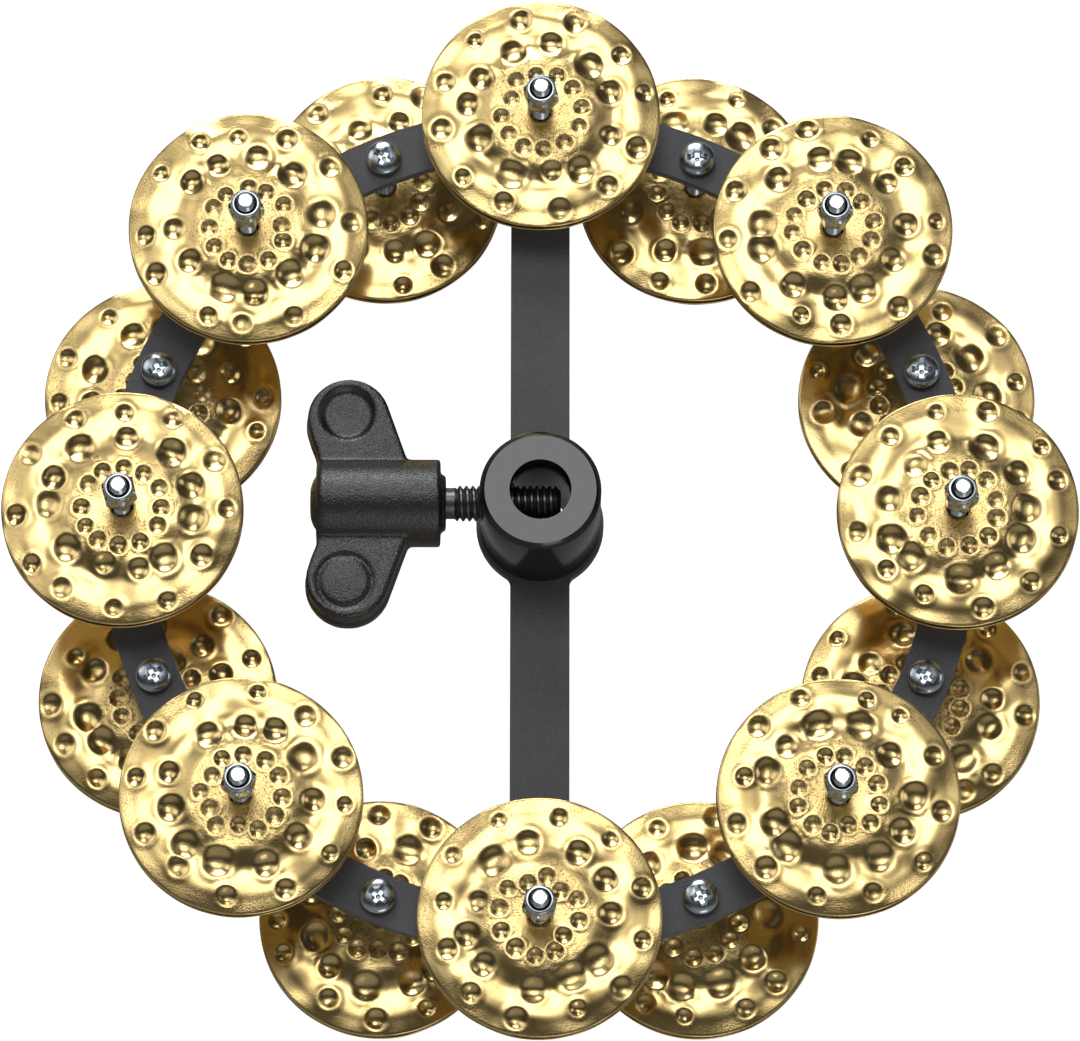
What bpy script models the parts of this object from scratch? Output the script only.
"""Hi-hat jingle ring: a flat steel ring carrying pairs of jingles on screws, with a clamp hub.

Frame: the origin is the middle of the ring plate on the hub's bore axis, +Z is the front face's
normal, +Y runs along the crossbar and the wing bolt enters the hub from -X. Lengths are metres.
"""
import math

import bmesh
import bpy
from mathutils import Vector

MM = 0.001

# Ring plate.
POST_CIRCLE_RADIUS = 92.5 * MM
BAND_WIDTH = 11.0 * MM
PLATE_THICKNESS = 3.0 * MM
CROSSBAR_WIDTH = 13.2 * MM
PAD_RADIUS = 14.2 * MM
PAD_FILLET = 2.2 * MM
WINDOW_CORNER_FILLET = 4.0 * MM
POSTS_PER_FACE = 8

# Clearance left between neighbours that touch on the real object.
GAP = 0.3 * MM

# Clamp hub: a turned collar whose spigot passes through the pad and is swaged over behind it.
HUB_RADIUS = 13.4 * MM
HUB_HEIGHT = 27.4 * MM
HUB_CHAMFER = 1.1 * MM
BORE_RADIUS = 6.8 * MM
SPIGOT_WALL = 2.5 * MM
SWAGE_OVERLAP = 1.7 * MM
SWAGE_THICKNESS = 1.2 * MM

# Wing bolt: a 5/16 inch stud in a moulded grip.
CLAMP_AXIS_HEIGHT = 16.0 * MM
STUD_RADIUS = 3.97 * MM
STUD_TIP_SHORT_OF_WALL = 2.2 * MM
STUD_TIP_CHAMFER = 1.3 * MM
STUD_DEPTH_IN_GRIP = 24.0 * MM
GRIP_TO_HUB = 7.4 * MM
GRIP_BOSS_RADIUS = 6.2 * MM
GRIP_BOSS_LENGTH = 1.2 * MM
GRIP_BARREL_RADIUS = 9.7 * MM
GRIP_BARREL_LENGTH = 27.4 * MM
GRIP_EDGE_CHAMFER = 0.8 * MM
GRIP_BUTTON_RADIUS = 5.7 * MM
GRIP_BUTTON_HEIGHT = 1.4 * MM
GRIP_BUTTON_CROWN = 0.7
WING_LOBE_RADIUS = 9.5 * MM
WING_SPAN = 55.4 * MM
WING_LOBE_FROM_BARREL_END = 7.1 * MM
WING_LOBE_LAST_ANGLE = math.radians(190)
WING_ROOT_FROM_BARREL_END = 20.3 * MM
WING_THICKNESS = 9.0 * MM
WING_EDGE_CHAMFER = 1.0 * MM
WING_WAIST_INSET = 0.4 * MM

# Posts: pan head screws, each clamped to the plate by one lock nut and closed by another.
SCREW_RADIUS = 2.0 * MM
SCREW_LENGTH = 34.0 * MM
SCREW_TIP_CHAMFER = 0.5 * MM
HEAD_RADIUS = 4.0 * MM
HEAD_HEIGHT = 2.6 * MM
HEAD_CROWN = 0.7
NUT_ACROSS_FLATS = 7.0 * MM
NUT_HEIGHT = 6.8 * MM
NUT_COLLAR_HEIGHT = 2.2 * MM
NUT_COLLAR_RADIUS = 3.3 * MM
SCREW_PAST_NUT = 2.0 * MM

# Jingles: sheet discs with a raised middle, hung in facing pairs.
JINGLE_RADIUS = 26.8 * MM
JINGLE_SHEET = 0.6 * MM
JINGLE_BOSS_RADIUS = 11.5 * MM
JINGLE_BOSS_HEIGHT = 1.6 * MM
JINGLE_BOSS_SLOPE = 2.0 * MM
JINGLE_HOLE_RADIUS = 2.45 * MM
PAIR_RIM_GAP = 1.6 * MM

# Mesh fineness.
RING_SEGMENTS = 72
WINDOW_ARC_STEPS = 28
PAD_ARC_STEPS = 12
FILLET_STEPS = 4
HUB_SEGMENTS = 32
STUD_SEGMENTS = 24
GRIP_SEGMENTS = 28
LOBE_STEPS = 12
FASTENER_SEGMENTS = 12
POST_HOLE_SEGMENTS = 12
JINGLE_SEGMENTS = 16
CUTTER_OVERRUN = 2.0 * MM
SHARP_ANGLE = math.radians(35)

FRONT_FACE_Z = PLATE_THICKNESS / 2
CLAMP_AXIS_Z = FRONT_FACE_Z + CLAMP_AXIS_HEIGHT
SPIGOT_RADIUS = BORE_RADIUS + SPIGOT_WALL
GRIP_BOSS_X = -(HUB_RADIUS + GRIP_TO_HUB)
GRIP_BARREL_X = GRIP_BOSS_X - GRIP_BOSS_LENGTH
GRIP_END_X = GRIP_BARREL_X - GRIP_BARREL_LENGTH
STUD_TIP_X = BORE_RADIUS - STUD_TIP_SHORT_OF_WALL
POST_TIP_Z = SCREW_LENGTH - FRONT_FACE_Z
STANDOFF_TOP_Z = FRONT_FACE_Z + GAP + NUT_HEIGHT
LOCK_NUT_TOP_Z = POST_TIP_Z - SCREW_PAST_NUT
LOCK_NUT_SEAT_Z = LOCK_NUT_TOP_Z - NUT_HEIGHT
HALF_PAIR = JINGLE_BOSS_HEIGHT + JINGLE_SHEET + PAIR_RIM_GAP / 2
RIM_OFFSET = PAIR_RIM_GAP / 2 + JINGLE_SHEET / 2


# ---------------------------------------------------------------- materials

def make_material(name, colour, metallic, roughness):
    """A Principled material with one colour, metallic value and roughness."""
    material = bpy.data.materials.new(name)
    material.use_nodes = True
    shader = material.node_tree.nodes["Principled BSDF"]
    shader.inputs["Base Color"].default_value = (*colour, 1.0)
    shader.inputs["Metallic"].default_value = metallic
    shader.inputs["Roughness"].default_value = roughness
    return material


# ---------------------------------------------------------------- mesh helpers

def add_object(name, mesh, material, location=(0, 0, 0), rotation=(0, 0, 0)):
    """Put a mesh in the scene as one named, smooth shaded sub-part."""
    if not mesh.materials:
        mesh.materials.append(material)
        mesh.shade_smooth()
        mesh.set_sharp_from_angle(angle=SHARP_ANGLE)
    sub_part = bpy.data.objects.new(name, mesh)
    sub_part.location = location
    sub_part.rotation_euler = rotation
    bpy.context.scene.collection.objects.link(sub_part)
    return sub_part


def add_cutter(name, mesh, location=(0, 0, 0), rotation=(0, 0, 0)):
    """Put a mesh in the scene as a hidden operand for a Boolean."""
    cutter = bpy.data.objects.new(name, mesh)
    cutter.location = location
    cutter.rotation_euler = rotation
    cutter.hide_render = True
    cutter.display_type = 'WIRE'
    bpy.context.scene.collection.objects.link(cutter)
    return cutter


def add_boolean(sub_part, operand, operation):
    """Cut or join a sub-part with an operand."""
    modifier = sub_part.modifiers.new(operand.name, 'BOOLEAN')
    modifier.operation = operation
    modifier.solver = 'EXACT'
    modifier.object = operand


def finish_mesh(name, shape):
    """Turn a bmesh into a mesh whose faces point out."""
    bmesh.ops.recalc_face_normals(shape, faces=shape.faces)
    mesh = bpy.data.meshes.new(name)
    shape.to_mesh(mesh)
    shape.free()
    return mesh


def outline_radius(angle, radius, is_hex):
    """Distance from the axis to a section's outline; a hexagon's flats lie at radius."""
    if not is_hex:
        return radius
    sector = math.pi / 3
    return radius / math.cos(angle % sector - sector / 2)


def add_sections(shape, sections, segments, is_hollow, centre=(0, 0)):
    """Skin a stack of (z, radius, is_hex) sections; a hollow stack closes on itself."""
    rings = []
    for z, radius, is_hex in sections:
        ring = []
        for step in range(segments):
            angle = 2 * math.pi * step / segments
            reach = outline_radius(angle, radius, is_hex)
            x = centre[0] + reach * math.cos(angle)
            y = centre[1] + reach * math.sin(angle)
            ring.append(shape.verts.new((x, y, z)))
        rings.append(ring)
    pairs = list(zip(rings, rings[1:]))
    if is_hollow:
        pairs.append((rings[-1], rings[0]))
    else:
        shape.faces.new(rings[0])
        shape.faces.new(rings[-1])
    for low, high in pairs:
        for step in range(segments):
            after = (step + 1) % segments
            shape.faces.new((low[step], low[after], high[after], high[step]))


def stacked_mesh(name, sections, segments, is_hollow=False):
    """A turned or hexagonal solid made of one stack of sections."""
    shape = bmesh.new()
    add_sections(shape, sections, segments, is_hollow)
    return finish_mesh(name, shape)


def round_sections(points):
    """Sections of a purely round stack, from (z, radius) points."""
    return [(z, radius, False) for z, radius in points]


def arc_points(centre, radius, start, end, steps):
    """Points along a circular arc, both ends included."""
    points = []
    for step in range(steps + 1):
        angle = start + (end - start) * step / steps
        points.append((centre[0] + radius * math.cos(angle), centre[1] + radius * math.sin(angle)))
    return points


def add_prism(shape, outline, z_low, z_high):
    """Extrude a flat outline into a closed prism."""
    base = shape.faces.new([shape.verts.new((x, y, z_low)) for x, y in outline])
    top = bmesh.ops.extrude_face_region(shape, geom=[base])
    raised = [item for item in top["geom"] if isinstance(item, bmesh.types.BMVert)]
    bmesh.ops.translate(shape, verts=raised, vec=Vector((0, 0, z_high - z_low)))


# ---------------------------------------------------------------- ring plate

def post_places(is_front):
    """Post centres on one face; the back posts stand midway between the front ones."""
    places = []
    shift = 0.0 if is_front else 0.5
    for number in range(POSTS_PER_FACE):
        angle = 2 * math.pi * (number + shift) / POSTS_PER_FACE
        places.append((POST_CIRCLE_RADIUS * math.cos(angle), POST_CIRCLE_RADIUS * math.sin(angle)))
    return places


def window_outline():
    """Right-hand window between the band, the crossbar and the hub pad."""
    bar_edge = CROSSBAR_WIDTH / 2
    band_inside = POST_CIRCLE_RADIUS - BAND_WIDTH / 2
    corner_x = bar_edge + WINDOW_CORNER_FILLET
    corner_y = math.sqrt((band_inside - WINDOW_CORNER_FILLET) ** 2 - corner_x ** 2)
    corner_angle = math.atan2(corner_y, corner_x)
    root_x = bar_edge + PAD_FILLET
    root_y = math.sqrt((PAD_RADIUS + PAD_FILLET) ** 2 - root_x ** 2)
    root_angle = math.atan2(root_y, root_x)
    upper = arc_points((0, 0), band_inside, 0, corner_angle, WINDOW_ARC_STEPS // 2)[1:]
    upper += arc_points((corner_x, corner_y), WINDOW_CORNER_FILLET, corner_angle, math.pi, FILLET_STEPS)[1:]
    upper += arc_points((root_x, root_y), PAD_FILLET, math.pi, math.pi + root_angle, FILLET_STEPS)
    upper += arc_points((0, 0), PAD_RADIUS, root_angle, 0, PAD_ARC_STEPS // 2)[1:-1]
    lower = [(x, -y) for x, y in reversed(upper)]
    return [(band_inside, 0)] + upper + [(PAD_RADIUS, 0)] + lower


def frame_plate(material):
    """Laser-cut ring with its crossbar, hub pad and screw holes."""
    shape = bmesh.new()
    band_outside = POST_CIRCLE_RADIUS + BAND_WIDTH / 2
    add_sections(shape, round_sections([(-FRONT_FACE_Z, band_outside), (FRONT_FACE_Z, band_outside)]),
                 RING_SEGMENTS, False)
    plate = add_object("frame_plate", finish_mesh("frame_plate", shape), material)

    low = -FRONT_FACE_Z - CUTTER_OVERRUN
    high = FRONT_FACE_Z + CUTTER_OVERRUN
    cuts = bmesh.new()
    window = window_outline()
    add_prism(cuts, window, low, high)
    add_prism(cuts, [(-x, y) for x, y in reversed(window)], low, high)
    hole = SCREW_RADIUS + GAP
    for place in post_places(True) + post_places(False):
        add_sections(cuts, round_sections([(low, hole), (high, hole)]), POST_HOLE_SEGMENTS, False, place)
    spigot_hole = SPIGOT_RADIUS + GAP
    add_sections(cuts, round_sections([(low, spigot_hole), (high, spigot_hole)]), HUB_SEGMENTS, False)
    add_boolean(plate, add_cutter("plate_cuts", finish_mesh("plate_cuts", cuts)), 'DIFFERENCE')
    return plate


# ---------------------------------------------------------------- clamp hub and wing bolt

def hub(material):
    """Turned collar seated on the pad, with its spigot swaged over behind the plate."""
    seat = FRONT_FACE_Z + GAP
    top = seat + HUB_HEIGHT
    swage_radius = SPIGOT_RADIUS + SWAGE_OVERLAP
    points = [
        (-seat - SWAGE_THICKNESS, BORE_RADIUS),
        (-seat - SWAGE_THICKNESS, swage_radius),
        (-seat, swage_radius),
        (-seat, SPIGOT_RADIUS),
        (seat, SPIGOT_RADIUS),
        (seat, HUB_RADIUS),
        (top - HUB_CHAMFER, HUB_RADIUS),
        (top, HUB_RADIUS - HUB_CHAMFER),
        (top, BORE_RADIUS),
    ]
    mesh = stacked_mesh("hub", round_sections(points), HUB_SEGMENTS, is_hollow=True)
    collar = add_object("hub", mesh, material)

    clearance = STUD_RADIUS + GAP
    reach = HUB_RADIUS + CUTTER_OVERRUN
    drill = stacked_mesh("hub_drill", round_sections([(-reach, clearance), (0, clearance)]), STUD_SEGMENTS)
    cutter = add_cutter("hub_drill", drill, (0, 0, CLAMP_AXIS_Z), (0, math.pi / 2, 0))
    add_boolean(collar, cutter, 'DIFFERENCE')
    return collar


def clamp_stud(material):
    """Threaded stud, drawn at its thread's outer diameter, with a chamfered tip."""
    points = [
        (GRIP_BOSS_X - STUD_DEPTH_IN_GRIP, STUD_RADIUS),
        (STUD_TIP_X - STUD_TIP_CHAMFER, STUD_RADIUS),
        (STUD_TIP_X, STUD_RADIUS - STUD_TIP_CHAMFER),
    ]
    mesh = stacked_mesh("clamp_stud", round_sections(points), STUD_SEGMENTS)
    return add_object("clamp_stud", mesh, material, (0, 0, CLAMP_AXIS_Z), (0, math.pi / 2, 0))


def wing_outline():
    """Plan of both wings: two round lobes whose flanks run in to the barrel."""
    lobe_x = GRIP_END_X + WING_LOBE_FROM_BARREL_END
    lobe_y = WING_SPAN / 2 - WING_LOBE_RADIUS
    root_x = GRIP_END_X + WING_ROOT_FROM_BARREL_END
    waist_x = GRIP_END_X + WING_WAIST_INSET
    reach = math.hypot(root_x - lobe_x, GRIP_BARREL_RADIUS - lobe_y)
    to_root = math.atan2(GRIP_BARREL_RADIUS - lobe_y, root_x - lobe_x)
    tangent = to_root + math.acos(WING_LOBE_RADIUS / reach)
    lobe = arc_points((lobe_x, lobe_y), WING_LOBE_RADIUS, tangent, WING_LOBE_LAST_ANGLE, LOBE_STEPS)
    upper = [(root_x, GRIP_BARREL_RADIUS - WING_WAIST_INSET)] + lobe
    upper.append((waist_x, GRIP_BARREL_RADIUS))
    lower = [(x, -y) for x, y in reversed(upper)]
    return upper + lower


def wing_grip(material):
    """Moulded grip: barrel with an end button, a boss at the stud, and two flat wings."""
    points = [
        (GRIP_END_X - GRIP_BUTTON_HEIGHT, GRIP_BUTTON_RADIUS * GRIP_BUTTON_CROWN),
        (GRIP_END_X, GRIP_BUTTON_RADIUS),
        (GRIP_END_X, GRIP_BARREL_RADIUS - GRIP_EDGE_CHAMFER),
        (GRIP_END_X + GRIP_EDGE_CHAMFER, GRIP_BARREL_RADIUS),
        (GRIP_BARREL_X - GRIP_EDGE_CHAMFER, GRIP_BARREL_RADIUS),
        (GRIP_BARREL_X, GRIP_BARREL_RADIUS - GRIP_EDGE_CHAMFER),
        (GRIP_BARREL_X, GRIP_BOSS_RADIUS),
        (GRIP_BOSS_X, GRIP_BOSS_RADIUS),
    ]
    mesh = stacked_mesh("wing_grip", round_sections(points), GRIP_SEGMENTS)
    grip = add_object("wing_grip", mesh, material, (0, 0, CLAMP_AXIS_Z), (0, math.pi / 2, 0))

    shape = bmesh.new()
    add_prism(shape, wing_outline(), -WING_THICKNESS / 2, WING_THICKNESS / 2)
    rims = [edge for edge in shape.edges if abs(edge.verts[0].co.z - edge.verts[1].co.z) < GAP]
    bmesh.ops.bevel(shape, geom=rims, offset=WING_EDGE_CHAMFER, segments=1, affect='EDGES')
    wings = add_cutter("wing_lobes", finish_mesh("wing_lobes", shape), (0, 0, CLAMP_AXIS_Z))
    add_boolean(grip, wings, 'UNION')

    clearance = STUD_RADIUS + GAP
    bottom = GRIP_BOSS_X - STUD_DEPTH_IN_GRIP - GAP
    mouth = GRIP_BOSS_X + CUTTER_OVERRUN
    depth = round_sections([(bottom, clearance), (mouth, clearance)])
    socket = stacked_mesh("stud_socket", depth, STUD_SEGMENTS)
    cutter = add_cutter("stud_socket", socket, (0, 0, CLAMP_AXIS_Z), (0, math.pi / 2, 0))
    add_boolean(grip, cutter, 'DIFFERENCE')
    return grip


# ---------------------------------------------------------------- posts

def nut_outside(seat, top):
    """Outer sections of a lock nut, from its seat to its collar's top."""
    flats = NUT_ACROSS_FLATS / 2
    hex_top = top - NUT_COLLAR_HEIGHT
    return [(seat, flats, True), (hex_top, flats, True), (top, NUT_COLLAR_RADIUS, False)]


def screw_sections(with_lock_nut):
    """Screw standing up through the plate from a head below it, with its stand-off nut."""
    seat = -FRONT_FACE_Z - GAP
    sections = round_sections([
        (seat - HEAD_HEIGHT, HEAD_RADIUS * HEAD_CROWN),
        (seat - HEAD_HEIGHT / 2, HEAD_RADIUS),
        (seat, HEAD_RADIUS),
        (seat, SCREW_RADIUS),
    ])
    nut_seat = FRONT_FACE_Z + GAP
    sections.append((nut_seat, SCREW_RADIUS, False))
    sections += nut_outside(nut_seat, STANDOFF_TOP_Z)
    sections.append((STANDOFF_TOP_Z, SCREW_RADIUS, False))
    if with_lock_nut:
        sections.append((LOCK_NUT_SEAT_Z, SCREW_RADIUS, False))
        sections += nut_outside(LOCK_NUT_SEAT_Z, LOCK_NUT_TOP_Z)
        sections.append((LOCK_NUT_TOP_Z, SCREW_RADIUS, False))
    sections.append((POST_TIP_Z - SCREW_TIP_CHAMFER, SCREW_RADIUS, False))
    sections.append((POST_TIP_Z, SCREW_RADIUS - SCREW_TIP_CHAMFER, False))
    return sections


def add_posts(material):
    """Front screws with separate lock nuts, and back posts with theirs joined on."""
    screw = stacked_mesh("screw_front", screw_sections(False), FASTENER_SEGMENTS)
    hole = SCREW_RADIUS + GAP
    ring = nut_outside(LOCK_NUT_SEAT_Z, LOCK_NUT_TOP_Z)
    ring += [(LOCK_NUT_TOP_Z, hole, False), (LOCK_NUT_SEAT_Z, hole, False)]
    nut = stacked_mesh("lock_nut_front", ring, FASTENER_SEGMENTS, is_hollow=True)
    post = stacked_mesh("post_back", screw_sections(True), FASTENER_SEGMENTS)
    for number, (x, y) in enumerate(post_places(True), 1):
        add_object(f"screw_front_{number}", screw, material, (x, y, 0))
        add_object(f"lock_nut_front_{number}", nut, material, (x, y, 0))
    for number, (x, y) in enumerate(post_places(False), 1):
        add_object(f"post_back_{number}", post, material, (x, y, 0), (math.pi, 0, 0))


# ---------------------------------------------------------------- jingles

def jingle_mesh(name, boss_side):
    """Disc with a raised middle; boss_side is 1 for a boss on top and -1 for one below."""
    half = JINGLE_SHEET / 2
    boss = JINGLE_BOSS_HEIGHT
    foot = JINGLE_BOSS_RADIUS + JINGLE_BOSS_SLOPE
    profile = [
        (boss + half, JINGLE_HOLE_RADIUS),
        (boss + half, JINGLE_BOSS_RADIUS),
        (half, foot),
        (half, JINGLE_RADIUS),
        (-half, JINGLE_RADIUS),
        (-half, foot),
        (boss - half, JINGLE_BOSS_RADIUS),
        (boss - half, JINGLE_HOLE_RADIUS),
    ]
    sections = [(z * boss_side, radius, False) for z, radius in profile]
    return stacked_mesh(name, sections, JINGLE_SEGMENTS, is_hollow=True)


def add_jingles(material):
    """Facing pairs: front ones rest on the stand-off nuts, back ones on their lock nuts."""
    upper = jingle_mesh("jingle_boss_up", 1)
    lower = jingle_mesh("jingle_boss_down", -1)
    front_middle = STANDOFF_TOP_Z + GAP + HALF_PAIR
    back_middle = -LOCK_NUT_SEAT_Z + GAP + HALF_PAIR
    for face, is_front, middle in (("front", True, front_middle), ("back", False, back_middle)):
        for number, (x, y) in enumerate(post_places(is_front), 1):
            add_object(f"jingle_{face}_upper_{number}", upper, material, (x, y, middle + RIM_OFFSET))
            add_object(f"jingle_{face}_lower_{number}", lower, material, (x, y, middle - RIM_OFFSET))


# ---------------------------------------------------------------- assembly

def build():
    """Clear the scene and model every sub-part."""
    for old in list(bpy.data.objects):
        bpy.data.objects.remove(old, do_unlink=True)
    powder_coat = make_material("powder_coat", (0.03, 0.03, 0.032), 0.0, 0.55)
    black_anodise = make_material("black_anodise", (0.02, 0.02, 0.021), 0.6, 0.35)
    blackened_steel = make_material("blackened_steel", (0.02, 0.02, 0.02), 0.8, 0.3)
    moulded_plastic = make_material("moulded_plastic", (0.015, 0.015, 0.015), 0.0, 0.6)
    zinc_plate = make_material("zinc_plate", (0.7, 0.72, 0.75), 1.0, 0.2)
    brass = make_material("brass", (0.8, 0.6, 0.28), 1.0, 0.25)
    frame_plate(powder_coat)
    hub(black_anodise)
    clamp_stud(blackened_steel)
    wing_grip(moulded_plastic)
    add_posts(zinc_plate)
    add_jingles(brass)


build()
